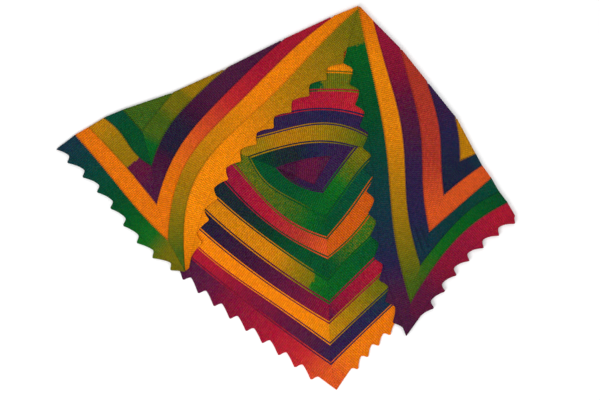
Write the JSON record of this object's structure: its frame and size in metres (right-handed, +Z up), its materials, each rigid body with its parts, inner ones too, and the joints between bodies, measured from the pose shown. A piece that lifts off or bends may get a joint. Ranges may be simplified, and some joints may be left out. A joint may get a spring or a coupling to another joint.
{
  "type": "triangle shawl",
  "caption": "Hand-knitted triangle shawl of one saw-toothed strip joined round after round, laid flat with both wings folded forward.",
  "frame": {"origin": "on the surface that the shawl lies on, under the middle of its box", "axes": "+Z up from the surface, +Y towards the apex where the two folds meet, +X towards the right wing"},
  "size_m": [1.0516, 0.8762, 0.0066],
  "materials": {
    "amber": "matt wool yarn, stockinette knit",
    "crimson": "matt wool yarn, stockinette knit",
    "flame": "matt wool yarn, stockinette knit",
    "green": "matt wool yarn, stockinette knit",
    "heart": "matt wool yarn, stockinette knit",
    "magenta": "matt wool yarn, stockinette knit",
    "mustard": "matt wool yarn, stockinette knit",
    "navy": "matt wool yarn, stockinette knit",
    "olive": "matt wool yarn, stockinette knit",
    "orange": "matt wool yarn, stockinette knit",
    "pine": "matt wool yarn, stockinette knit",
    "purple": "matt wool yarn, stockinette knit",
    "red": "matt wool yarn, stockinette knit",
    "teal": "matt wool yarn, stockinette knit"
  },
  "bodies": {
    "root": {"heart": "heart", "back_left_round_0": "purple", "back_left_round_1": "pine", "back_left_round_2": "olive", "back_left_round_3": "crimson", "back_left_round_4": "pine", "back_left_round_5": "mustard", "back_left_round_6": "navy", "back_left_round_7": "orange", "back_left_round_8": "magenta", "back_left_round_9": "crimson", "back_right_round_0": "purple", "back_right_round_1": "green", "back_right_round_2": "pine", "back_right_round_3": "orange", "back_right_round_4": "green", "back_right_round_5": "pine", "back_right_round_6": "red", "back_right_round_7": "olive", "back_right_round_8": "navy", "back_right_round_9": "orange", "back_neck_round_1": "teal", "back_neck_round_2": "mustard", "back_neck_round_3": "purple", "back_neck_round_4": "crimson", "back_neck_round_5": "olive", "back_neck_round_6": "orange", "back_neck_round_7": "crimson", "back_neck_round_8": "purple", "back_neck_round_9": "amber", "left_wing_middle": "olive", "left_wing_neck_round_6": "olive", "left_wing_neck_round_7": "purple", "left_wing_neck_round_8": "flame", "left_wing_neck_round_9": "mustard", "left_wing_neck_round_10": "amber", "left_wing_leg_round_6": "pine", "left_wing_leg_round_7": "mustard", "left_wing_leg_round_8": "orange", "left_wing_leg_round_9": "pine", "right_wing_middle": "mustard", "right_wing_neck_round_6": "navy", "right_wing_neck_round_7": "flame", "right_wing_neck_round_8": "purple", "right_wing_neck_round_9": "mustard", "right_wing_neck_round_10": "green", "right_wing_leg_round_5": "teal", "right_wing_leg_round_6": "flame", "right_wing_leg_round_7": "pine", "right_wing_leg_round_8": "green", "right_wing_leg_round_9": "magenta"}
  },
  "joints": []
}
